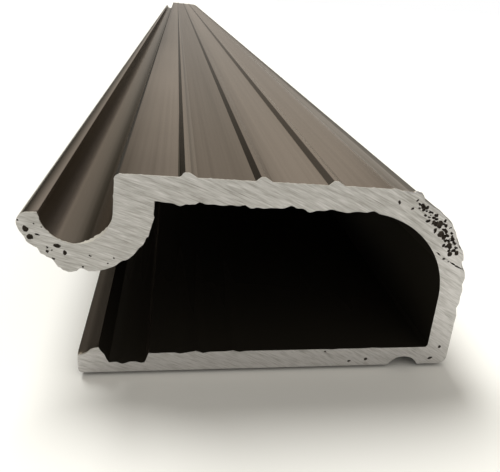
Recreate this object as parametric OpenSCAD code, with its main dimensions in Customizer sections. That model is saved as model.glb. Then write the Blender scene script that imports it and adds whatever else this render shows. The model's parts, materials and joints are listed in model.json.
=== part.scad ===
// Hooked aluminium extrusion: one sawn length of a C-shaped section.
// The section lies in X and Z, the bar runs along Y, and the base plate's underside is at Z = 0.
// The origin is under the middle of the bar.

/* [Bar] */
// Sawn length of the bar
bar_length = 1000; // [250:10:3000]

/* [Section] */
// Overall width, from the back of the lip to the nose wall's face
section_w = 60; // [58:0.5:66]
// Height of the edge between the trough and the top face
edge_h = 29; // [28.4:0.1:30]
// Radius of that edge
edge_r = 0.7; // [0.3:0.1:1.2]
// Thickness of the top and of the nose wall
wall_t = 3.4; // [3:0.1:3.8]
// Fall of the top face towards the nose, in degrees
top_fall = 2.2; // [1:0.1:3]

/* [Nose] */
// Outside radius of the nose
nose_r = 14.8; // [13:0.1:16]
// Inside radius of the nose
nose_inner_r = 13; // [11.6:0.1:14]
// Radius of the outside corner under the nose wall
toe_r = 1.2; // [0.4:0.1:1.6]
// Radius of the inside corner between the nose wall and the plate
heel_r = 0.5; // [0.3:0.1:1.2]

/* [Ribs] */
// Number of ribs along the top face
rib_count = 3; // [1:1:3]
// Distance from the trough edge to the middle of the first rib
rib_first = 8.9; // [6:0.1:10]
// Distance between ribs
rib_pitch = 9.4; // [6:0.1:10]
// Width of a rib at its foot
rib_w = 2.2; // [1.6:0.1:2.8]
// Height of a rib
rib_h = 0.6; // [0.4:0.1:0.9]

/* [Base plate] */
// Thickness of the base plate
plate_t = 3; // [2.7:0.1:3.4]
// Radius of the lower free edge of the plate
plate_edge_r = 0.6; // [0.2:0.1:1]
// Height of the bead along the free edge
bead_h = 4.1; // [3.7:0.1:4.5]
// Distance of the bead's crest from the free edge
bead_in = 2.8; // [2.2:0.1:3]
// Width of the bead's steep inner side
bead_run = 1.3; // [0.8:0.1:1.6]
// Width of the sunk strip behind the bead
strip_w = 5; // [4:0.1:7]
// Depth of the sunk strip below the plate's upper face
strip_d = 1.35; // [0.8:0.05:1.5]

/* [Underside groove] */
// Distance from the nose wall's face to the middle of the groove
groove_in = 6.8; // [5.6:0.1:9]
// Width of the groove at its mouth
groove_w = 4.6; // [3.6:0.1:5]
// Depth of the groove
groove_d = 1.4; // [1:0.1:1.6]

/* [Trough and lip] */
// Distance by which the lip reaches past the plate's free edge
lip_reach = 6; // [5.8:0.1:6.2]
// Height of the lip's top
lip_h = 23.9; // [23.2:0.1:24.2]
// Radius of the lip's outer corner
lip_r = 1.1; // [0.6:0.1:1.3]
// Inside radius of the trough
trough_r = 4.5; // [4:0.1:4.7]
// Distance of the trough's axis from the plate's free edge
trough_in = 1.1; // [0.9:0.1:1.3]
// Height of the trough's axis
trough_h = 24.2; // [24:0.1:24.6]
// Outside radius under the trough
hook_r = 8.4; // [8.3:0.1:8.6]
// Rise of the outside curve's axis above the trough's axis, along the web
hook_rise = 0.2; // [0:0.1:0.4]
// Thickness of the web between the trough and the hollow
web_t = 5; // [4.8:0.1:5.2]
// Lean of the web towards the nose, in degrees
web_lean = 4.2; // [3:0.1:5]

/* [Hidden] */
$fn = 96;
// The section is drawn from the plate's free edge, at X = 0
face_x = section_w - lip_reach;
inner_x = face_x - wall_t;
mid_x = face_x - section_w / 2;
// Height of the trough's edge along the web, and its place across the section
edge_up = (edge_h - trough_h + trough_r * sin(web_lean)) / cos(web_lean);
edge_x = trough_in + trough_r * cos(web_lean) + edge_up * sin(web_lean);
// Way along the top face towards the nose, and the way out of it
top_way = [cos(top_fall), -sin(top_fall)];
top_out = [sin(top_fall), cos(top_fall)];
// Place of the hook's axis as seen along the leaning web, where the hook's curve runs into the web's inner face
hook_place = [trough_r + web_t - hook_r, hook_rise];
// Lowest point of the trough, and a place inside the web
trough_floor_h = trough_h - trough_r;
web_mid_x = edge_x + web_t / 2;
// The groove's arc passes through both edges of its mouth
groove_r = (groove_w * groove_w / 4 + groove_d * groove_d) / (2 * groove_d);
strip_h = plate_t - strip_d;
strip_start = bead_in + bead_run;
strip_end = strip_start + strip_w;
// Share of the strip's depth over which its step leans
step_lean_share = 0.4;
// A rib's outline from its nose side to its trough side, in shares of its width and height
rib_shares = [[0.5, 0], [0.05, 1], [-0.2, 1], [-0.5, 0]];
// Size of a corner's cutting kite, as a share of the kite that ends at the corner
kite_share = 1.4;
// Share of its radius by which a corner's arc stands proud, so that it crosses both sides at a slight angle
proud_share = 0.0002;

// Height of the top face, and of the hollow's ceiling under it, at a place across the section
function top_z(x) = edge_h - (x - edge_x) * tan(top_fall);
function ceiling_z(x) = top_z(x) - wall_t / cos(top_fall);

// Outline of the rib whose middle is a given run along the top face from the trough's edge
function rib_points(run) = [
    for (share = rib_shares)
        [edge_x, edge_h] + (run + share[0] * rib_w) * top_way + share[1] * rib_h * top_out
];

// Sliver between a corner and the arc that rounds it off, where the corner's sides leave it along u and v
module corner_cut(corner, u, v, r) {
    spread = abs(cross(u, v));
    axis = corner + (u + v) * r / spread * (1 - proud_share);
    reach = r * (1 + u * v) / spread;
    translate(axis) difference() {
        polygon(kite_share * [[0, 0], corner + reach * u - axis, corner - axis, corner + reach * v - axis]);
        circle(r);
    }
}

// Moves to the trough's axis and leans as the web does, with +Y up along the web
module along_web() {
    translate([trough_in, trough_h]) rotate(-web_lean) children();
}

// Lower half of the hook's disc
module hook_disc() {
    along_web() translate(hook_place) intersection() {
        circle(hook_r);
        translate([-hook_r, -hook_r]) square([2 * hook_r, hook_r]);
    }
}

// Area between the underside and the ribbed top face, with the hook's curve, before it is hollowed out
module filled_area() {
    polygon([
        [0, 0],
        [face_x, 0],
        [face_x, top_z(face_x)],
        for (i = [rib_count - 1 : -1 : 0]) each rib_points(rib_first + i * rib_pitch),
        [0, top_z(0)]
    ]);
    hook_disc();
}

// The hollow and its open side: above the plate, its bead and its sunk strip, below the hook and the top
module hollow_area() {
    difference() {
        polygon([
            [-lip_reach, plate_t],
            [0, plate_t],
            [bead_in, bead_h],
            [strip_start, strip_h],
            [strip_end, strip_h],
            [strip_end + strip_d * step_lean_share, plate_t],
            [inner_x, plate_t],
            [inner_x, ceiling_z(inner_x)],
            [web_mid_x, ceiling_z(web_mid_x)],
            [web_mid_x, trough_floor_h],
            [-lip_reach, trough_floor_h]
        ]);
        hook_disc();
        along_web() translate(hook_place) square([hook_r, edge_h]);
        corner_cut([inner_x, ceiling_z(inner_x)], [0, -1], -top_way, nose_inner_r);
        corner_cut([inner_x, plate_t], [-1, 0], [0, 1], heel_r);
    }
}

// The trough and the room above the lip
module trough_area() {
    along_web() {
        circle(trough_r);
        translate([-trough_r, 0]) square([2 * trough_r, edge_h]);
    }
    translate([trough_in - section_w, lip_h]) square([section_w, edge_h]);
}

// The whole section, with its rounded corners and the groove under the plate
module section_area() {
    difference() {
        filled_area();
        hollow_area();
        trough_area();
        translate([-lip_reach - section_w, 0]) square([section_w, edge_h]);
        translate([face_x - groove_in, groove_d - groove_r]) circle(groove_r);
        corner_cut([edge_x, edge_h], top_way, [-sin(web_lean), -cos(web_lean)], edge_r);
        corner_cut([face_x, top_z(face_x)], [0, -1], -top_way, nose_r);
        corner_cut([face_x, 0], [-1, 0], [0, 1], toe_r);
        corner_cut([0, 0], [1, 0], [0, 1], plate_edge_r);
        corner_cut([-lip_reach, lip_h], [1, 0], [0, -1], lip_r);
    }
}

// The whole bar, in brown anodised aluminium
module profile_bar() {
    color("#7d7369")
        translate([-mid_x, bar_length / 2, 0]) rotate([90, 0, 0])
            linear_extrude(height = bar_length) section_area();
}

profile_bar();
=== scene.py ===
import json
import math
import random

import bmesh
import bpy
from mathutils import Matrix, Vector

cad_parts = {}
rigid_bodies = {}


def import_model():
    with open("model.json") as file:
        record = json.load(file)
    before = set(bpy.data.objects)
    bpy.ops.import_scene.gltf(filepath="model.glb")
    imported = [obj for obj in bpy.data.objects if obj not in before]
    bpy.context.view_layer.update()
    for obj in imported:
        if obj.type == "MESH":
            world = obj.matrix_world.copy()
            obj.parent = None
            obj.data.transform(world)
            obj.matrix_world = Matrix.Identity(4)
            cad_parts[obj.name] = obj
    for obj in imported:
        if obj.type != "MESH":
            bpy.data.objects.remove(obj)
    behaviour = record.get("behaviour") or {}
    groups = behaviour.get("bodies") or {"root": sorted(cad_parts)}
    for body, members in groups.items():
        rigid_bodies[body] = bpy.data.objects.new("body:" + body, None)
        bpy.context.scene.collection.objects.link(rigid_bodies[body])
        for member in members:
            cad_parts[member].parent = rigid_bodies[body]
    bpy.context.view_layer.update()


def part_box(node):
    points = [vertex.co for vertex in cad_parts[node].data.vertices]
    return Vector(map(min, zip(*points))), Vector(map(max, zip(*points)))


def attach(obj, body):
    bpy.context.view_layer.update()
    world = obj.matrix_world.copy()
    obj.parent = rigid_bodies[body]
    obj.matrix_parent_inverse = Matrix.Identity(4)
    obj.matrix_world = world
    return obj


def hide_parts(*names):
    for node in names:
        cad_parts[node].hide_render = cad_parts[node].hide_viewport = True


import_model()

# Profile bar: one length of hooked C-section aluminium, pressed through a die, brown anodised and sawn off.
# The die's outline is drawn in the plane of the near cut, in millimetres from the plate's free edge and
# underside, and is then drawn out along the bar.
bar_low, bar_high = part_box("profile_bar")
cut_y = bar_low.y
lip_reach = 6.0
plate_edge_x = bar_low.x + lip_reach / 1000

wall_t = 3.4
face_x = 54.0
inner_x = face_x - wall_t
plate_t = 3.0
plate_edge_r = 0.6
toe_r = 1.2
heel_r = 0.5

top_fall = math.radians(2.2)
top_way = Vector((math.cos(top_fall), -math.sin(top_fall)))
top_out = Vector((math.sin(top_fall), math.cos(top_fall)))
edge_h = 29.0
edge_r = 0.7
nose_r = 14.8
nose_inner_r = 13.0

# A rib's outline runs from its nose side to its trough side, in shares of its width and height
rib_places = (8.9, 18.3, 27.7)
rib_w = 2.2
rib_h = 0.6
rib_shares = ((0.5, 0.0), (0.05, 1.0), (-0.2, 1.0), (-0.5, 0.0))

web_lean = math.radians(4.2)
web_way = Vector((math.sin(web_lean), math.cos(web_lean)))
web_out = Vector((math.cos(web_lean), -math.sin(web_lean)))
web_t = 5.0
trough_axis = Vector((1.1, 24.2))
trough_r = 4.5
hook_r = 8.4
hook_rise = 0.2
hook_axis = trough_axis + (trough_r + web_t - hook_r) * web_out + hook_rise * web_way
lip_h = 23.9
lip_r = 1.35
lip_drop = hook_axis.y - lip_h + lip_r
lip_axis = Vector((hook_axis.x - math.sqrt((hook_r - lip_r) ** 2 - lip_drop ** 2), lip_h - lip_r))

groove_in = 6.8
groove_mid = face_x - groove_in
groove_half = 2.3
groove_d = 1.4
groove_r = (groove_half ** 2 + groove_d ** 2) / (2 * groove_d)

bead_in = 2.8
bead_h = 4.1
strip_start = 4.1
strip_end = 9.1
strip_h = 1.65
step_run = 0.54

edge_up = (edge_h - trough_axis.y + trough_r * math.sin(web_lean)) / math.cos(web_lean)
edge = trough_axis + trough_r * web_out + edge_up * web_way


def top_z(x):
    """Height of the top face at a place across the section."""
    return edge.y - (x - edge.x) * math.tan(top_fall)


def ceiling_z(x):
    """Height of the hollow's ceiling at a place across the section."""
    return top_z(x) - wall_t / math.cos(top_fall)


def across_at(x):
    """A place across the section, in metres in the shared frame."""
    return plate_edge_x + x / 1000


def place(x, z):
    """A place on the near cut, in metres in the shared frame, from section millimetres."""
    return Vector((across_at(x), cut_y, z / 1000))


def tip():
    """The outline's free end, which is the only vertex selected."""
    return next(v.co.copy() for v in bmesh.from_edit_mesh(bpy.context.object.data).verts if v.select)


def line_to(x, z, steps=1):
    """Draws a straight stretch of the outline."""
    step = (place(x, z) - tip()) / steps
    for _ in range(steps):
        bpy.ops.mesh.extrude_region_move(TRANSFORM_OT_translate={"value": step})


def arc_about(axis, turn, steps):
    """Draws an arc of the outline about an axis. A turn above zero goes anticlockwise, in degrees."""
    bpy.ops.mesh.spin(steps=steps, angle=math.radians(turn), center=place(*axis), axis=(0, 1, 0))


bpy.ops.object.select_all(action="DESELECT")
bpy.ops.mesh.primitive_plane_add(size=0.001, location=place(plate_edge_r, 0))
bar = bpy.context.object
bar.name = "extruded_bar"
bpy.ops.object.transform_apply(location=True)
bpy.ops.object.mode_set(mode="EDIT")
bpy.ops.mesh.merge(type="CENTER")

# Underside, with its groove, and the nose wall's face
groove_sweep = 2 * math.degrees(math.asin(groove_half / groove_r))
line_to(groove_mid - groove_half, 0, 60)
arc_about((groove_mid, groove_d - groove_r), -groove_sweep, 16)
line_to(face_x - toe_r, 0, 4)
arc_about((face_x - toe_r, toe_r), 90, 6)
nose_corner = Vector((face_x, top_z(face_x)))
nose_reach = nose_r * math.tan(math.radians(45) - top_fall / 2)
nose_axis = nose_corner + Vector((-nose_r, -nose_reach))
line_to(face_x, nose_axis.y, 24)

# Rounded nose, top face with its ribs, and the trough's edge
nose_sweep = 90 - math.degrees(top_fall)
arc_about(nose_axis, nose_sweep, 96)
for run in reversed(rib_places):
    foot, *crest = [
        edge + (run + along * rib_w) * top_way + up * rib_h * top_out for along, up in rib_shares
    ]
    line_to(*foot, 24)
    for point in crest:
        line_to(*point, 4)
edge_turn = 90 + math.degrees(top_fall) - math.degrees(web_lean)
edge_reach = edge_r / math.tan(math.radians(180 - edge_turn) / 2)
line_to(*(edge + edge_reach * top_way), 24)
arc_about(edge + edge_reach * top_way - edge_r * top_out, edge_turn, 8)

# Trough, lip and the hook's underside
line_to(*(trough_axis + trough_r * web_out), 12)
lip_dip = math.asin((trough_axis.y - lip_h) / trough_r)
arc_about(trough_axis, -(180 - math.degrees(lip_dip) - math.degrees(web_lean)), 48)
line_to(lip_axis.x, lip_h, 6)
hook_start = math.asin(lip_drop / (hook_r - lip_r))
arc_about(lip_axis, 90 + math.degrees(hook_start), 14)
arc_about(hook_axis, 180 - math.degrees(hook_start) - math.degrees(web_lean), 72)

# Web's inner face, the hollow's ceiling, the nose's inner curve and the plate's upper face
web_foot = hook_axis + hook_r * web_out
ceiling_up = (ceiling_z(web_foot.x) - web_foot.y) / (web_way.y + web_way.x * math.tan(top_fall))
line_to(*(web_foot + ceiling_up * web_way), 6)
inner_reach = nose_inner_r * math.tan(math.radians(45) - top_fall / 2)
inner_corner = Vector((inner_x, ceiling_z(inner_x)))
inner_axis = inner_corner + Vector((-nose_inner_r, -inner_reach))
line_to(*(inner_corner - inner_reach * top_way), 80)
arc_about(inner_axis, -nose_sweep, 48)
line_to(inner_x, plate_t + heel_r, 16)
arc_about((inner_x - heel_r, plate_t + heel_r), -90, 4)
line_to(strip_end + step_run, plate_t, 80)
line_to(strip_end, strip_h, 3)
line_to(strip_start, strip_h, 12)
line_to(bead_in, bead_h, 6)
line_to(0, plate_t, 6)
line_to(0, plate_edge_r, 6)
arc_about((plate_edge_r, plate_edge_r), 90, 6)

# The outline is joined at its start and filled
join_gap = 0.02
bpy.ops.mesh.select_all(action="SELECT")
bpy.ops.mesh.remove_doubles(threshold=join_gap / 1000)
bpy.ops.mesh.edge_face_add()

# The bar's first millimetre is drawn out from the cut in short steps
ring_steps = (0.15, 0.3, 0.6)
for step in ring_steps:
    bpy.ops.mesh.extrude_region_move(TRANSFORM_OT_translate={"value": (0, step / 1000, 0)})
bpy.ops.mesh.select_all(action="SELECT")
bpy.ops.mesh.normals_make_consistent(inside=False)

# The saw has torn the cut's edges: each place is one that an edge was dragged to, with the metal near it
ceiling_tears = (
    (11.0, 25.56), (12.0, 25.4), (13.8, 24.96), (15.0, 25.16), (15.7, 25.2), (16.2, 25.5), (16.9, 25.25),
    (18.0, 25.24), (20.2, 25.2), (22.0, 25.2), (22.7, 24.76), (24.4, 24.76), (26.0, 24.84), (28.0, 25.2),
    (29.2, 24.84), (30.4, 24.3), (32.0, 24.56), (33.3, 24.76), (35.4, 24.3), (37.0, 24.48), (39.0, 24.6),
)
hook_tears = (
    (-5.2, 20.7), (-4.2, 19.4), (-3.6, 18.9), (-3.0, 18.2), (-2.1, 17.6), (-1.7, 16.9), (-1.2, 16.4),
    (-0.6, 15.95), (0.1, 15.78), (0.8, 15.92), (1.4, 16.3), (2.0, 16.0), (2.6, 15.87), (3.3, 15.9),
    (4.2, 16.1), (6.4, 17.3), (8.6, 19.1), (9.6, 20.6), (9.85, 20.75), (10.0, 21.3), (10.3, 22.3),
    (10.65, 23.4), (10.55, 23.7),
)
nose_tears = (
    (41.6, 27.72), (43.0, 27.4), (44.1, 27.2), (44.8, 27.25), (45.35, 27.0), (45.65, 26.55), (46.0, 26.1),
    (47.1, 25.4), (48.2, 24.75), (49.0, 24.05), (49.7, 23.5), (50.3, 22.9), (50.9, 21.9), (51.4, 20.9),
    (51.6, 20.1), (52.1, 19.5), (52.45, 19.1), (53.0, 18.2), (53.2, 17.3), (53.05, 16.6), (53.3, 16.0),
    (53.85, 15.05), (53.75, 13.5), (53.9, 11.6), (53.7, 9.7), (53.95, 7.0),
)
plate_tears = (
    (0.05, 2.9), (1.0, 3.05), (2.1, 3.95), (2.9, 4.1), (3.6, 3.0), (4.2, 1.6), (6.0, 1.3), (8.6, 1.4),
    (9.3, 1.95), (10.6, 2.95), (14.0, 2.8), (16.2, 3.2), (17.2, 2.8), (21.5, 3.15), (22.4, 2.85),
    (30.0, 3.0), (36.0, 2.92), (42.0, 3.08),
)
trough_burrs = (
    (-3.45, 24.0), (-3.2, 23.3), (-2.3, 21.5), (-1.0, 20.35), (-0.3, 20.05), (1.2, 19.8), (3.4, 20.45),
    (4.9, 22.0), (5.5, 23.4), (5.68, 26.2), (5.9, 28.5), (6.5, 29.0),
)
top_burrs = (
    (9.0, 28.98), (14.2, 29.25), (17.6, 28.68), (20.4, 28.5), (23.9, 28.9), (27.2, 28.25), (30.6, 28.15),
    (36.0, 27.92), (38.6, 27.85),
)
tear_reaches = (1.0, 0.4)
burr_reach = 0.35
flat_gap = 1e-6


def drag(shift, reach):
    """Moves what is selected, and the metal within reach of it, in millimetres, less and less."""
    bpy.ops.transform.translate(
        value=shift, use_proportional_edit=True, use_proportional_connected=True,
        proportional_edit_falloff="SMOOTH", proportional_size=reach / 1000,
    )


def tear_edge(tears, reach):
    """Drags the cut's edge to each torn place."""
    for x, z in tears:
        bpy.ops.mesh.select_all(action="DESELECT")
        mesh = bmesh.from_edit_mesh(bar.data)
        edge_verts = [v for v in mesh.verts if abs(v.co.y - cut_y) < flat_gap]
        nearest = min(edge_verts, key=lambda v: (v.co - place(x, z)).length)
        nearest.select_set(True)
        shift = place(x, z) - nearest.co
        bmesh.update_edit_mesh(bar.data)
        drag(shift, reach)


for tears in (ceiling_tears, hook_tears, nose_tears, plate_tears):
    for reach in tear_reaches:
        tear_edge(tears, reach)
for burrs in (trough_burrs, top_burrs):
    tear_edge(burrs, burr_reach)


def select_end(far):
    """Selects the flat face at the near cut, or at the far end."""
    bpy.ops.mesh.select_all(action="DESELECT")
    mesh = bmesh.from_edit_mesh(bar.data)
    ends = [f for f in mesh.faces if len(f.verts) > 4]
    ends.sort(key=lambda f: f.calc_center_median().y)
    ends[-1 if far else 0].select_set(True)
    bmesh.update_edit_mesh(bar.data)


# The rest of the length, and a narrow rim that rolls back from the cut where the nose is torn
select_end(far=True)
bar_rest = bar_high.y - bar_low.y - sum(ring_steps) / 1000
bpy.ops.mesh.extrude_region_move(TRANSFORM_OT_translate={"value": (0, bar_rest, 0)})
rim_w = 0.16
roll_back = 0.2
roll_reach = 0.8
roll_r = 12.5
roll_start = place(43.5, 15.5)
select_end(far=False)
bpy.ops.mesh.inset(thickness=rim_w / 1000, depth=0)
bpy.ops.mesh.hide(unselected=False)
mesh = bmesh.from_edit_mesh(bar.data)
for vert in mesh.verts:
    on_cut = abs(vert.co.y - cut_y) < flat_gap
    off_axis = (vert.co - place(*nose_axis)).length > roll_r / 1000
    on_nose = vert.co.x > roll_start.x and vert.co.z > roll_start.z
    vert.select_set(on_cut and off_axis and on_nose and not vert.hide)
bmesh.update_edit_mesh(bar.data)
drag((0, roll_back / 1000, 0), roll_reach)
bpy.ops.mesh.reveal(select=False)
bpy.ops.object.mode_set(mode="OBJECT")
smooth_angle = math.radians(28)
bpy.ops.object.shade_smooth_by_angle(angle=smooth_angle)


def linear(hex_code):
    """An sRGB hex colour as linear values with full alpha."""
    shares = [int(hex_code[i:i + 2], 16) / 255 for i in (1, 3, 5)]
    return [s / 12.92 if s <= 0.04045 else ((s + 0.055) / 1.055) ** 2.4 for s in shares] + [1.0]


def empty_material(name):
    """A material with no nodes yet."""
    material = bpy.data.materials.new(name)
    material.use_nodes = True
    material.node_tree.nodes.clear()
    return material


def add_node(tree, kind, inputs=None, **settings):
    """Adds a node with its settings. An input is a value, or a socket to link from."""
    node = tree.nodes.new(kind)
    for name, value in settings.items():
        setattr(node, name, value)
    for name, value in (inputs or {}).items():
        if isinstance(value, bpy.types.NodeSocket):
            tree.links.new(value, node.inputs[name])
        else:
            node.inputs[name].default_value = value
    return node


# Brown anodised aluminium: a tinted oxide film on metal that the die has drawn, so it shines softly and
# shows faint lines along the bar. The film is painted paler or darker between the ribs as painted light and
# shade.
dark_film = linear("#574d43")
pale_film = linear("#a5998d")
streak_w = 0.6
streak_run = 120
band_reach = 50
anodised = empty_material("brown_anodised_aluminium")
tree = anodised.node_tree
coords = add_node(tree, "ShaderNodeTexCoord")
spot = add_node(tree, "ShaderNodeSeparateXYZ", {"Vector": coords.outputs["Object"]})
depth = add_node(tree, "ShaderNodeMath", {0: spot.outputs["Y"], 1: cut_y}, operation="SUBTRACT")
streak_place = add_node(tree, "ShaderNodeMapping", {
    "Vector": coords.outputs["Object"],
    "Scale": (1000 / streak_w, 1000 / streak_run, 1000 / streak_w),
})
streaks = add_node(tree, "ShaderNodeTexNoise", {
    "Vector": streak_place.outputs["Vector"], "Scale": 1.0, "Detail": 3.0,
})
across = add_node(tree, "ShaderNodeMapRange", {
    "Value": spot.outputs["X"], "From Min": across_at(0), "From Max": across_at(band_reach),
})
# Painted light and shade: the film is made paler or darker strip by strip across the bar
painted_bands = add_node(tree, "ShaderNodeValToRGB", {"Fac": across.outputs["Result"]})
painted_band_greys = (
    (0.0, 1.0), (0.056, 0.9), (0.12, 0.0), (0.2, 0.42), (0.272, 0.6), (0.28, 0.75), (0.3, 0.72),
    (0.306, 0.12), (0.315, 0.55), (0.321, 0.34), (0.42, 0.34), (0.5, 0.55), (0.56, 0.8), (0.64, 0.8),
    (0.78, 0.72), (0.86, 0.4), (1.0, 0.3),
)

# A painted highlight makes the strip next to the trough palest a hand's breadth behind the cut. Its places
# are metres behind it.
strip_mid = 10
strip_half = 3.7
strip_highlight = add_node(tree, "ShaderNodeValToRGB", {"Fac": depth.outputs["Value"]})
strip_highlight_greys = (
    (0.004, 0.0), (0.017, 0.13), (0.04, 0.28), (0.077, 0.49), (0.12, 0.36), (0.197, 0.07), (0.31, 0.01),
    (0.486, 0.08),
)
on_strip = add_node(tree, "ShaderNodeMath", {
    0: spot.outputs["X"], 1: across_at(strip_mid), 2: strip_half / 1000,
}, operation="COMPARE")
highlighted_film = add_node(tree, "ShaderNodeMath", {
    0: on_strip.outputs["Value"], 1: strip_highlight.outputs["Color"], 2: painted_bands.outputs["Color"],
}, operation="MULTIPLY_ADD")
streaked = add_node(tree, "ShaderNodeMapRange", {
    "Value": streaks.outputs["Fac"], "From Min": 0.25, "From Max": 0.75, "To Min": -0.12, "To Max": 0.12,
})
tint = add_node(tree, "ShaderNodeMath", {
    0: highlighted_film.outputs["Value"], 1: streaked.outputs["Result"],
}, operation="ADD", use_clamp=True)
film = add_node(tree, "ShaderNodeMix", {
    "Factor": tint.outputs["Value"], "A": dark_film, "B": pale_film,
}, data_type="RGBA")

# Painted shade: a dark colour mixed into the film on the ribs' steep sides, at the first rib's foot, on the
# nose and behind the lip
painted_shade_colour = linear("#2e291e")
rib_foot_x = 13.72
rib_foot_half = 0.18
rib_foot_run = 40
facing = add_node(tree, "ShaderNodeNewGeometry")
lean = add_node(tree, "ShaderNodeSeparateXYZ", {"Vector": facing.outputs["Normal"]})
flank = add_node(tree, "ShaderNodeMapRange", {
    "Value": lean.outputs["X"], "From Min": -0.12, "From Max": -0.6, "To Max": 0.8,
}, interpolation_type="SMOOTHSTEP")
flank_share = add_node(tree, "ShaderNodeMapRange", {
    "Value": spot.outputs["X"], "From Min": across_at(14), "From Max": across_at(34),
    "To Min": 1.02, "To Max": 0.8,
})
painted_flank_shade = add_node(tree, "ShaderNodeMath", {
    0: flank.outputs["Result"], 1: flank_share.outputs["Result"],
}, operation="MULTIPLY")
# Painted shade at the first rib's foot, narrowing away from the cut
foot_reach = add_node(tree, "ShaderNodeMapRange", {
    "Value": depth.outputs["Value"], "From Max": rib_foot_run / 1000,
    "To Min": rib_foot_half / 1000, "To Max": 0.0,
})
rib_foot_shade = add_node(tree, "ShaderNodeMath", {
    0: spot.outputs["X"], 1: across_at(rib_foot_x), 2: foot_reach.outputs["Result"],
}, operation="COMPARE")
painted_flank_lines = add_node(tree, "ShaderNodeMath", {
    0: painted_flank_shade.outputs["Value"], 1: rib_foot_shade.outputs["Value"],
}, operation="MAXIMUM")
# Painted shade on the nose's side darkens a bright reflection there
nose_side = add_node(tree, "ShaderNodeMapRange", {
    "Value": lean.outputs["X"], "From Min": 0.1, "From Max": 0.5, "To Max": 0.8,
}, interpolation_type="SMOOTHSTEP")
by_nose = add_node(tree, "ShaderNodeMapRange", {
    "Value": spot.outputs["X"], "From Min": across_at(34), "From Max": across_at(38),
})
nose = add_node(tree, "ShaderNodeMath", {
    0: nose_side.outputs["Result"], 1: by_nose.outputs["Result"],
}, operation="MULTIPLY")
sides = add_node(tree, "ShaderNodeMath", {
    0: painted_flank_lines.outputs["Value"], 1: nose.outputs["Value"],
}, operation="MAXIMUM")
upper = add_node(tree, "ShaderNodeMapRange", {
    "Value": spot.outputs["Z"], "From Min": 0.01, "From Max": 0.018,
})
painted_upper_shade = add_node(tree, "ShaderNodeMath", {
    0: sides.outputs["Value"], 1: upper.outputs["Result"],
}, operation="MULTIPLY")
# Painted shade on the lip's outer side
lip_side = add_node(tree, "ShaderNodeMapRange", {
    "Value": spot.outputs["X"], "From Min": across_at(-3.4), "From Max": across_at(-4.9), "To Max": 0.85,
}, interpolation_type="SMOOTHSTEP")
outer_painted_shade = add_node(tree, "ShaderNodeMath", {
    0: painted_upper_shade.outputs["Value"], 1: lip_side.outputs["Result"],
}, operation="MAXIMUM")

# Painted shade and painted highlight in the trough and on the bead below it go by the way that the metal
# faces, from left to right
past_lip = add_node(tree, "ShaderNodeMapRange", {
    "Value": spot.outputs["X"], "From Min": across_at(-3.5), "From Max": across_at(-3.3),
})
before_edge = add_node(tree, "ShaderNodeMapRange", {
    "Value": spot.outputs["X"], "From Min": across_at(6.2), "From Max": across_at(5.9),
})
in_trough = add_node(tree, "ShaderNodeMath", {
    0: past_lip.outputs["Result"], 1: before_edge.outputs["Result"],
}, operation="MULTIPLY")
lean_share = add_node(tree, "ShaderNodeMapRange", {
    "Value": lean.outputs["X"], "From Min": -1.0, "From Max": 1.0,
})
painted_trough_shading = add_node(tree, "ShaderNodeValToRGB", {"Fac": lean_share.outputs["Result"]})
painted_trough_greys = (
    (0.0, 0.4), (0.15, 0.55), (0.26, 0.76), (0.317, 0.75), (0.36, 0.93), (0.42, 0.91), (0.5, 0.77),
    (0.58, 0.63), (0.65, 0.54), (0.72, 0.48), (0.78, 0.24), (0.83, 0.05), (0.876, 0.13), (0.91, 0.46),
    (0.945, 0.7), (1.0, 0.78),
)
for ramp, greys in ((painted_bands, painted_band_greys), (strip_highlight, strip_highlight_greys), (painted_trough_shading, painted_trough_greys)):
    ramp.color_ramp.interpolation = "EASE"
    for _ in greys[2:]:
        ramp.color_ramp.elements.new(0.5)
    for element, (position, grey) in zip(ramp.color_ramp.elements, greys):
        element.position = position
        element.color = (grey, grey, grey, 1.0)
# The painted shade is mixed into the film's colour
painted_shade_share = add_node(tree, "ShaderNodeMix", {
    "Factor": in_trough.outputs["Value"], "A": outer_painted_shade.outputs["Value"],
    "B": painted_trough_shading.outputs["Color"],
}, data_type="FLOAT")
shade_painted_film = add_node(tree, "ShaderNodeMix", {
    "Factor": painted_shade_share.outputs["Result"], "A": film.outputs["Result"], "B": painted_shade_colour,
}, data_type="RGBA")

# The film is chipped to bare metal by the cut, most of all where the saw came through the trough's wall
bare_chip = linear("#a5a196")
chip_size = 0.5
scuff_place = place(4.4, 20.8)
scuff_way = add_node(tree, "ShaderNodeVectorMath", {
    0: coords.outputs["Object"], 1: scuff_place,
}, operation="DISTANCE")
scuff_reach = add_node(tree, "ShaderNodeMapRange", {
    "Value": scuff_way.outputs["Value"], "From Min": 0.0012, "From Max": 0.0035,
    "To Min": 0.004, "To Max": 0.0004,
})
chip_noise = add_node(tree, "ShaderNodeTexNoise", {
    "Vector": coords.outputs["Object"], "Scale": 1000 / chip_size, "Detail": 3.0,
})
chip_reach = add_node(tree, "ShaderNodeMath", {
    0: scuff_reach.outputs["Result"], 1: chip_noise.outputs["Fac"],
}, operation="MULTIPLY")
chipped = add_node(tree, "ShaderNodeMath", {
    0: depth.outputs["Value"], 1: chip_reach.outputs["Value"],
}, operation="LESS_THAN")
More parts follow.
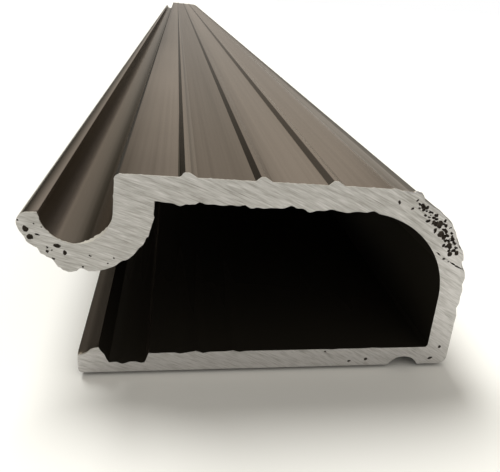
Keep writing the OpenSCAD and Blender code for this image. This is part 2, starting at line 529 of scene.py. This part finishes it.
# Bare chips go over the film and its painted shade
chipped_and_shaded = add_node(tree, "ShaderNodeMix", {
    "Factor": chipped.outputs["Value"], "A": shade_painted_film.outputs["Result"], "B": bare_chip,
}, data_type="RGBA")
rough = add_node(tree, "ShaderNodeMath", {
    0: chipped.outputs["Value"], 1: nose.outputs["Value"],
}, operation="MAXIMUM")
metal = add_node(tree, "ShaderNodeMapRange", {
    "Value": rough.outputs["Value"], "To Min": 0.88, "To Max": 0.1,
})
gloss = add_node(tree, "ShaderNodeMapRange", {
    "Value": rough.outputs["Value"], "To Min": 0.25, "To Max": 0.65,
})
surface = add_node(tree, "ShaderNodeBsdfPrincipled", {
    "Base Color": chipped_and_shaded.outputs["Result"], "Metallic": metal.outputs["Result"],
    "Roughness": gloss.outputs["Result"], "Specular Tint": linear("#e0dad0"),
})
add_node(tree, "ShaderNodeOutputMaterial", {"Surface": surface.outputs["BSDF"]})
bar.data.materials.append(anodised)

# Sawn aluminium: bare metal that a coarse circular saw has scored in shallow arcs about the blade's axis,
# so it is dull and streaked, with a few darker scratches. Painted light makes it paler on the nose wall and
# along the plate.
sawn = empty_material("sawn_aluminium")
tree = sawn.node_tree
blade_axis = place(-59, -162)
blade_r = 190
coords = add_node(tree, "ShaderNodeTexCoord")
flat = add_node(tree, "ShaderNodeVectorMath", {
    0: coords.outputs["Object"], 1: (1.0, 0.0, 1.0),
}, operation="MULTIPLY")
from_blade = add_node(tree, "ShaderNodeVectorMath", {
    0: flat.outputs["Vector"], 1: (blade_axis.x, 0.0, blade_axis.z),
}, operation="SUBTRACT")
radius = add_node(tree, "ShaderNodeVectorMath", {0: from_blade.outputs["Vector"]}, operation="LENGTH")
parts = add_node(tree, "ShaderNodeSeparateXYZ", {"Vector": from_blade.outputs["Vector"]})
turn = add_node(tree, "ShaderNodeMath", {0: parts.outputs["Z"], 1: parts.outputs["X"]}, operation="ARCTAN2")
polar = add_node(tree, "ShaderNodeCombineXYZ", {"X": radius.outputs["Value"], "Y": turn.outputs["Value"]})


def saw_marks(gap, run):
    """Noise drawn out along the blade's arcs: marks a gap apart and a run long, in millimetres."""
    scale = (1000 / gap, blade_r / run, 1.0)
    stretched = add_node(tree, "ShaderNodeVectorMath", {
        0: polar.outputs["Vector"], 1: scale,
    }, operation="MULTIPLY")
    return add_node(tree, "ShaderNodeTexNoise", {
        "Vector": stretched.outputs["Vector"], "Scale": 1.0, "Detail": 2.0, "Roughness": 0.6,
    })


broad_marks = saw_marks(0.6, 5.0)
fine_marks = saw_marks(0.18, 2.2)
scratches = saw_marks(0.16, 5.0)
marks = add_node(tree, "ShaderNodeMix", {
    "Factor": 0.6, "A": broad_marks.outputs["Fac"], "B": fine_marks.outputs["Fac"],
}, data_type="FLOAT")
mark_tone = add_node(tree, "ShaderNodeMapRange", {
    "Value": marks.outputs["Result"], "From Min": 0.34, "From Max": 0.66, "To Min": -0.1, "To Max": 0.9,
}, clamp=False)
spot = add_node(tree, "ShaderNodeSeparateXYZ", {"Vector": coords.outputs["Object"]})
# Painted light: the nose wall and the plate are made paler
painted_wall_light = add_node(tree, "ShaderNodeMapRange", {
    "Value": spot.outputs["X"], "From Min": across_at(47), "From Max": across_at(52), "To Max": 0.4,
})
painted_plate_light = add_node(tree, "ShaderNodeMapRange", {
    "Value": spot.outputs["Z"], "From Min": 0.006, "From Max": 0.002, "To Max": 0.45,
})
painted_place_light = add_node(tree, "ShaderNodeMath", {
    0: painted_wall_light.outputs["Result"], 1: painted_plate_light.outputs["Result"],
}, operation="MAXIMUM")
tone = add_node(tree, "ShaderNodeMath", {
    0: mark_tone.outputs["Result"], 1: painted_place_light.outputs["Value"],
}, operation="ADD", use_clamp=True)
bare = add_node(tree, "ShaderNodeMix", {
    "Factor": tone.outputs["Value"], "A": linear("#a19f9a"), "B": linear("#d0cecc"),
}, data_type="RGBA")
scratch_share = add_node(tree, "ShaderNodeMapRange", {
    "Value": scratches.outputs["Fac"], "From Min": 0.64, "From Max": 0.72, "To Max": 0.55,
})
scored = add_node(tree, "ShaderNodeMix", {
    "Factor": scratch_share.outputs["Result"], "A": bare.outputs["Result"], "B": linear("#5c5850"),
}, data_type="RGBA")
mark_depth = 0.1
relief = add_node(tree, "ShaderNodeBump", {
    "Height": marks.outputs["Result"], "Strength": 0.4, "Distance": mark_depth / 1000,
})
surface = add_node(tree, "ShaderNodeBsdfPrincipled", {
    "Base Color": scored.outputs["Result"], "Metallic": 1.0, "Roughness": 0.58,
    "Normal": relief.outputs["Normal"],
})
add_node(tree, "ShaderNodeOutputMaterial", {"Surface": surface.outputs["BSDF"]})
bar.data.materials.append(sawn)

# Painted shade: the same film painted near black inside the hollow, underneath and over the trough's edge,
# where it stands in for shade and hides the edge's glint.
shade_material = empty_material("painted_shade_film")
tree = shade_material.node_tree
surface = add_node(tree, "ShaderNodeBsdfPrincipled", {
    "Base Color": linear("#2b2822"), "Metallic": 0.5, "Roughness": 0.6, "Specular Tint": linear("#857562"),
})
add_node(tree, "ShaderNodeOutputMaterial", {"Surface": surface.outputs["BSDF"]})
bar.data.materials.append(shade_material)
film_slot, sawn_slot, shade_slot = range(3)
hollow_mid = place((strip_end + inner_x) / 2, edge_h / 2)
# Faces in the hollow, underneath and over the trough's edge take the painted shade
for face in bar.data.polygons:
    across_hollow = across_at(bead_in) < face.center.x < across_at(face_x - wall_t / 2)
    to_mid = hollow_mid - face.center
    in_hollow = across_hollow and to_mid.x * face.normal.x + to_mid.z * face.normal.z > 0
    near_edge = abs(face.center.x - across_at(edge.x)) < edge_r / 1000
    over_edge = near_edge and face.center.z > (edge_h - edge_r) / 1000 and face.normal.x < -0.1
    underneath = face.center.z < groove_d / 1000 and face.normal.z < -0.3
    if abs(face.normal.y) > 0.5:
        face.material_index = sawn_slot
    elif in_hollow or over_edge or underneath:
        face.material_index = shade_slot
    else:
        face.material_index = film_slot

# Pits in the cut: place, width and height in millimetres, and turn in degrees
lip_pits = (
    (-4.95, 21.75, 0.7, 0.9, 20), (-4.5, 20.7, 0.8, 0.8, 0), (-5.8, 22.95, 0.5, 0.2, -40),
    (-3.65, 21.0, 0.7, 0.3, -20), (-1.35, 19.45, 0.95, 0.55, -15), (-2.57, 19.25, 0.32, 0.25, 0),
    (-2.6, 18.7, 0.45, 0.35, 0), (-2.05, 18.85, 0.22, 0.2, 0), (-0.5, 18.5, 0.45, 0.7, -20),
    (-1.95, 17.65, 0.4, 0.25, -20), (1.57, 16.5, 0.28, 0.25, 0), (2.55, 18.1, 0.4, 0.2, -25),
    (4.7, 17.0, 0.25, 0.2, 0), (5.5, 17.75, 0.28, 0.22, 0), (-3.9, 22.4, 0.2, 0.18, 0),
    (-3.05, 22.0, 0.25, 0.18, 0),
)
nose_pits = (
    (42.25, 25.9, 0.35, 0.6, 20), (44.2, 25.05, 0.5, 0.3, 30), (45.5, 25.45, 0.4, 0.4, 0),
    (44.7, 26.2, 0.4, 0.2, 30), (46.9, 24.55, 0.9, 0.25, -35), (47.7, 24.1, 0.7, 0.55, 0),
    (46.7, 23.25, 0.8, 0.45, 20), (47.6, 23.1, 0.45, 0.7, 30), (48.5, 22.8, 0.9, 1.1, -20),
    (49.1, 23.3, 0.5, 0.5, 0), (49.4, 22.6, 0.5, 0.6, 0), (50.1, 22.3, 0.5, 0.2, 20),
    (48.0, 22.0, 0.5, 0.6, 0), (48.9, 21.4, 1.0, 0.9, 40), (49.6, 21.7, 0.4, 0.6, 0),
    (49.6, 21.1, 0.6, 0.4, 0), (50.6, 21.0, 0.4, 0.5, 0), (50.2, 20.4, 0.6, 0.4, -30),
    (51.0, 20.2, 0.4, 0.4, 0), (50.3, 19.6, 1.1, 0.5, 20), (51.3, 19.9, 0.3, 0.4, 0),
    (51.2, 18.95, 0.8, 0.4, 30), (51.8, 18.5, 0.6, 0.75, 20), (50.1, 17.65, 0.55, 0.3, -20),
    (50.9, 17.2, 0.35, 0.25, -30), (49.2, 18.4, 0.9, 0.2, -36), (51.6, 16.85, 1.0, 0.17, -32),
    (52.6, 16.3, 1.4, 0.2, -25),
)
plate_pits = (
    (52.5, 3.0, 0.5, 0.55, 20), (51.4, 1.0, 0.75, 0.45, 30), (41.3, 1.1, 0.6, 0.5, 30),
    (38.8, 0.8, 0.6, 0.35, 0), (35.0, 2.6, 0.4, 0.25, -30),
)

# Smaller pores lie thick along the torn nose, at random either side of a line of places
pore_line = ((44.6, 25.6), (46.6, 24.4), (48.4, 22.6), (49.6, 21.2), (50.6, 19.8), (51.6, 18.4))
pores_each = 11
pore_spread = 0.4
chance = random.Random(7)
nose_pores = []
for start, end in zip(pore_line, pore_line[1:]):
    for _ in range(pores_each):
        x, z = Vector(start).lerp(Vector(end), chance.random())
        width = chance.uniform(0.28, 0.75)
        x += chance.gauss(0, pore_spread)
        z += chance.gauss(0, pore_spread)
        height = width * chance.uniform(0.5, 1.0)
        nose_pores.append((x, z, width, height, chance.uniform(-60, 60)))

# Torn aluminium: the saw has pulled metal out, so a pit is rough; its dark colour is painted shade in the
# hole
pitted = empty_material("torn_pit_in_painted_shade")
tree = pitted.node_tree
surface = add_node(tree, "ShaderNodeBsdfPrincipled", {
    "Base Color": linear("#453d34"), "Metallic": 0.3, "Roughness": 0.8,
})
add_node(tree, "ShaderNodeOutputMaterial", {"Surface": surface.outputs["BSDF"]})

# Each pit is cut by a ball a millimetre across that is drawn to the pit's size and roughened
pit_depth = 0.45
pit_rough = 0.12
cutters = []
for x, z, width, height, turn in (*lip_pits, *nose_pits, *plate_pits, *nose_pores):
    bpy.ops.mesh.primitive_ico_sphere_add(subdivisions=2, radius=0.0005, location=place(x, z))
    cutter = bpy.context.object
    cutter.scale = (width, 2 * pit_depth * min(1.0, 0.4 + width), height)
    cutter.rotation_euler = (0, -math.radians(turn), 0)
    cutters.append(cutter)
bpy.ops.object.select_all(action="DESELECT")
for cutter in cutters:
    cutter.select_set(True)
bpy.context.view_layer.objects.active = cutters[0]
bpy.ops.object.join()
pit_tool = bpy.context.object
bpy.ops.object.transform_apply(location=True, rotation=True, scale=True)
pit_tool.data.materials.append(pitted)
bpy.ops.object.mode_set(mode="EDIT")
bpy.ops.mesh.select_all(action="SELECT")
bpy.ops.transform.vertex_random(offset=pit_rough / 1000, seed=31)
bpy.ops.object.mode_set(mode="OBJECT")
bpy.ops.object.select_all(action="DESELECT")
bar.select_set(True)
bpy.context.view_layer.objects.active = bar
cut_out = bar.modifiers.new("pits", "BOOLEAN")
cut_out.operation = "DIFFERENCE"
cut_out.solver = "EXACT"
cut_out.use_self = True
cut_out.material_mode = "TRANSFER"
cut_out.object = pit_tool
bpy.ops.object.modifier_apply(modifier="pits")
bpy.data.objects.remove(pit_tool)

# Crumbs of metal left between pits that meet are cleared away
bpy.ops.object.mode_set(mode="EDIT")
bpy.ops.mesh.select_all(action="DESELECT")
mesh = bmesh.from_edit_mesh(bar.data)
max(mesh.verts, key=lambda v: v.co.y).select_set(True)
bmesh.update_edit_mesh(bar.data)
bpy.ops.mesh.select_linked()
bpy.ops.mesh.select_all(action="INVERT")
bpy.ops.mesh.delete(type="VERT")
bpy.ops.object.mode_set(mode="OBJECT")

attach(bar, "root")
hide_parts("profile_bar")

# Floor: a plain pale table top for the bar to lie on, no part of the object. It is matt, so it takes a soft
# shadow. The bar is bowed a hair, so the table is a little below its cut end.
bow_gap = 0.0006
floor_size = 12
bpy.ops.object.select_all(action="DESELECT")
bpy.ops.mesh.primitive_plane_add(size=floor_size, location=(0, 0, -bow_gap))
floor = bpy.context.object
floor.name = "floor"
white = empty_material("white_table")
tree = white.node_tree
surface = add_node(tree, "ShaderNodeBsdfPrincipled", {"Base Color": linear("#f2f1ea"), "Roughness": 0.9})
add_node(tree, "ShaderNodeOutputMaterial", {"Surface": surface.outputs["BSDF"]})
floor.data.materials.append(white)

# Light: a large soft lamp above and behind the cut, in dim grey surroundings. They are darker low on the
# left and far to the right, and a faint glow comes from behind the camera.
world = bpy.data.worlds.new("studio")
bpy.context.scene.world = world
world.use_nodes = True
tree = world.node_tree
tree.nodes.clear()
sky = add_node(tree, "ShaderNodeTexCoord")
way = add_node(tree, "ShaderNodeSeparateXYZ", {"Vector": sky.outputs["Generated"]})
side_light = add_node(tree, "ShaderNodeMapRange", {
    "Value": way.outputs["X"], "From Min": -0.3, "From Max": 0.3, "To Min": 0.28, "To Max": 0.6,
})
left_share = add_node(tree, "ShaderNodeMapRange", {
    "Value": way.outputs["X"], "From Min": -0.04, "From Max": -0.3,
})
low_share = add_node(tree, "ShaderNodeMapRange", {
    "Value": way.outputs["Z"], "From Min": 0.45, "From Max": 0.2, "To Max": 0.85,
})
dark_share = add_node(tree, "ShaderNodeMath", {
    0: left_share.outputs["Result"], 1: low_share.outputs["Result"],
}, operation="MULTIPLY")
bright_share = add_node(tree, "ShaderNodeMath", {
    0: 1.0, 1: dark_share.outputs["Value"],
}, operation="SUBTRACT")
shaded = add_node(tree, "ShaderNodeMath", {
    0: side_light.outputs["Result"], 1: bright_share.outputs["Value"],
}, operation="MULTIPLY")
right_share = add_node(tree, "ShaderNodeMapRange", {
    "Value": way.outputs["X"], "From Min": 0.32, "From Max": 0.52, "To Min": 1.0, "To Max": 0.45,
})
balanced = add_node(tree, "ShaderNodeMath", {
    0: shaded.outputs["Value"], 1: right_share.outputs["Result"],
}, operation="MULTIPLY")
front_share = add_node(tree, "ShaderNodeMapRange", {
    "Value": way.outputs["Y"], "From Min": 0.2, "From Max": -0.5, "To Max": 0.22,
})
front_side = add_node(tree, "ShaderNodeMapRange", {
    "Value": way.outputs["X"], "From Min": -0.4, "From Max": 0.7, "To Min": 0.9, "To Max": 2.0,
})
front_light = add_node(tree, "ShaderNodeMath", {
    0: front_share.outputs["Result"], 1: front_side.outputs["Result"],
}, operation="MULTIPLY")
glow = add_node(tree, "ShaderNodeMath", {
    0: balanced.outputs["Value"], 1: front_light.outputs["Value"],
}, operation="ADD")

# The backdrop itself is plain white to the camera
seen = add_node(tree, "ShaderNodeLightPath")
backdrop = add_node(tree, "ShaderNodeMix", {
    "Factor": seen.outputs["Is Camera Ray"], "A": glow.outputs["Value"], "B": 1.0,
}, data_type="FLOAT")
sky_colour = add_node(tree, "ShaderNodeMix", {
    "Factor": seen.outputs["Is Camera Ray"], "A": linear("#fffbf6"), "B": linear("#ffffff"),
}, data_type="RGBA")
background = add_node(tree, "ShaderNodeBackground", {
    "Color": sky_colour.outputs["Result"], "Strength": backdrop.outputs["Result"],
})
add_node(tree, "ShaderNodeOutputWorld", {"Surface": background.outputs["Background"]})

lamp_lift = math.radians(58)
lamp_turn = math.radians(23)
lamp_spread = math.radians(32)
bpy.ops.object.light_add(
    type="SUN", location=(0, 0, 1), rotation=(lamp_lift - math.radians(90), 0, lamp_turn)
)
lamp = bpy.context.object
lamp.name = "soft_lamp"
lamp.data.angle = lamp_spread
lamp.data.energy = 3.2

# Camera: a hand-held phone close over the cut, tilted a little, that looks along the bar and down at it.
# Its place and lens were worked out from the bar's edges and the square cut.
bpy.ops.object.camera_add(
    location=(-0.01066, -0.56456, 0.04951),
    rotation=[math.radians(a) for a in (66.3116, -3.3975, -6.8736)],
)
camera = bpy.context.object
camera.data.sensor_width = 36
camera.data.lens = 39.6
camera.data.clip_start = 0.001
bpy.context.scene.camera = camera
bpy.context.scene.view_settings.view_transform = "Standard"
